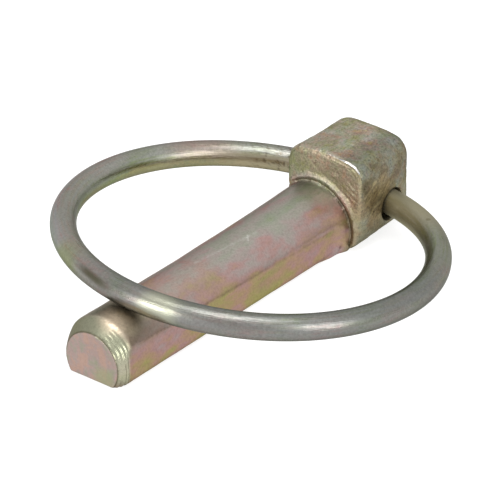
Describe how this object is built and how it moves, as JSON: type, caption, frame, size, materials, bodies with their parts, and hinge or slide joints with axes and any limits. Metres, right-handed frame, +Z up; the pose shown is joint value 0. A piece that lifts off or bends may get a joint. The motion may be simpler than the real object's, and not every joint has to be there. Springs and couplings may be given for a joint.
{
  "type": "lynch pin",
  "caption": "Quick-release lynch pin: a short forged shank with a flat underside, a block head and a sprung wire snap ring that swings over the tip to lock it.",
  "frame": {"origin": "where the shank's axis meets the front face of the head (the shoulder)", "axes": "+X along the shank towards its tip; +Y across the pin along the head's cross hole, towards the ring's bent-in end; +Z up, away from the flat underside that the pin lies on"},
  "size_m": [0.0577, 0.0525, 0.0132],
  "materials": {
    "forged_pin": "forged steel with a dull iridescent yellow zinc plating, rough on the head and turned bright on the tip's chamfer",
    "spring_wire": "smooth drawn spring wire with a thin silvery yellow zinc plating"
  },
  "bodies": {
    "pin": {"pin": "forged_pin"},
    "ring": {"ring": "spring_wire"}
  },
  "joints": [
    {"name": "ring_swing", "type": "hinge", "parent": "pin", "child": "ring", "pos_m": [-0.0075, 0.0013, 0.00242], "axis": [-0.0871, -0.9956, 0.0349], "range_deg": [0, 344]}
  ]
}
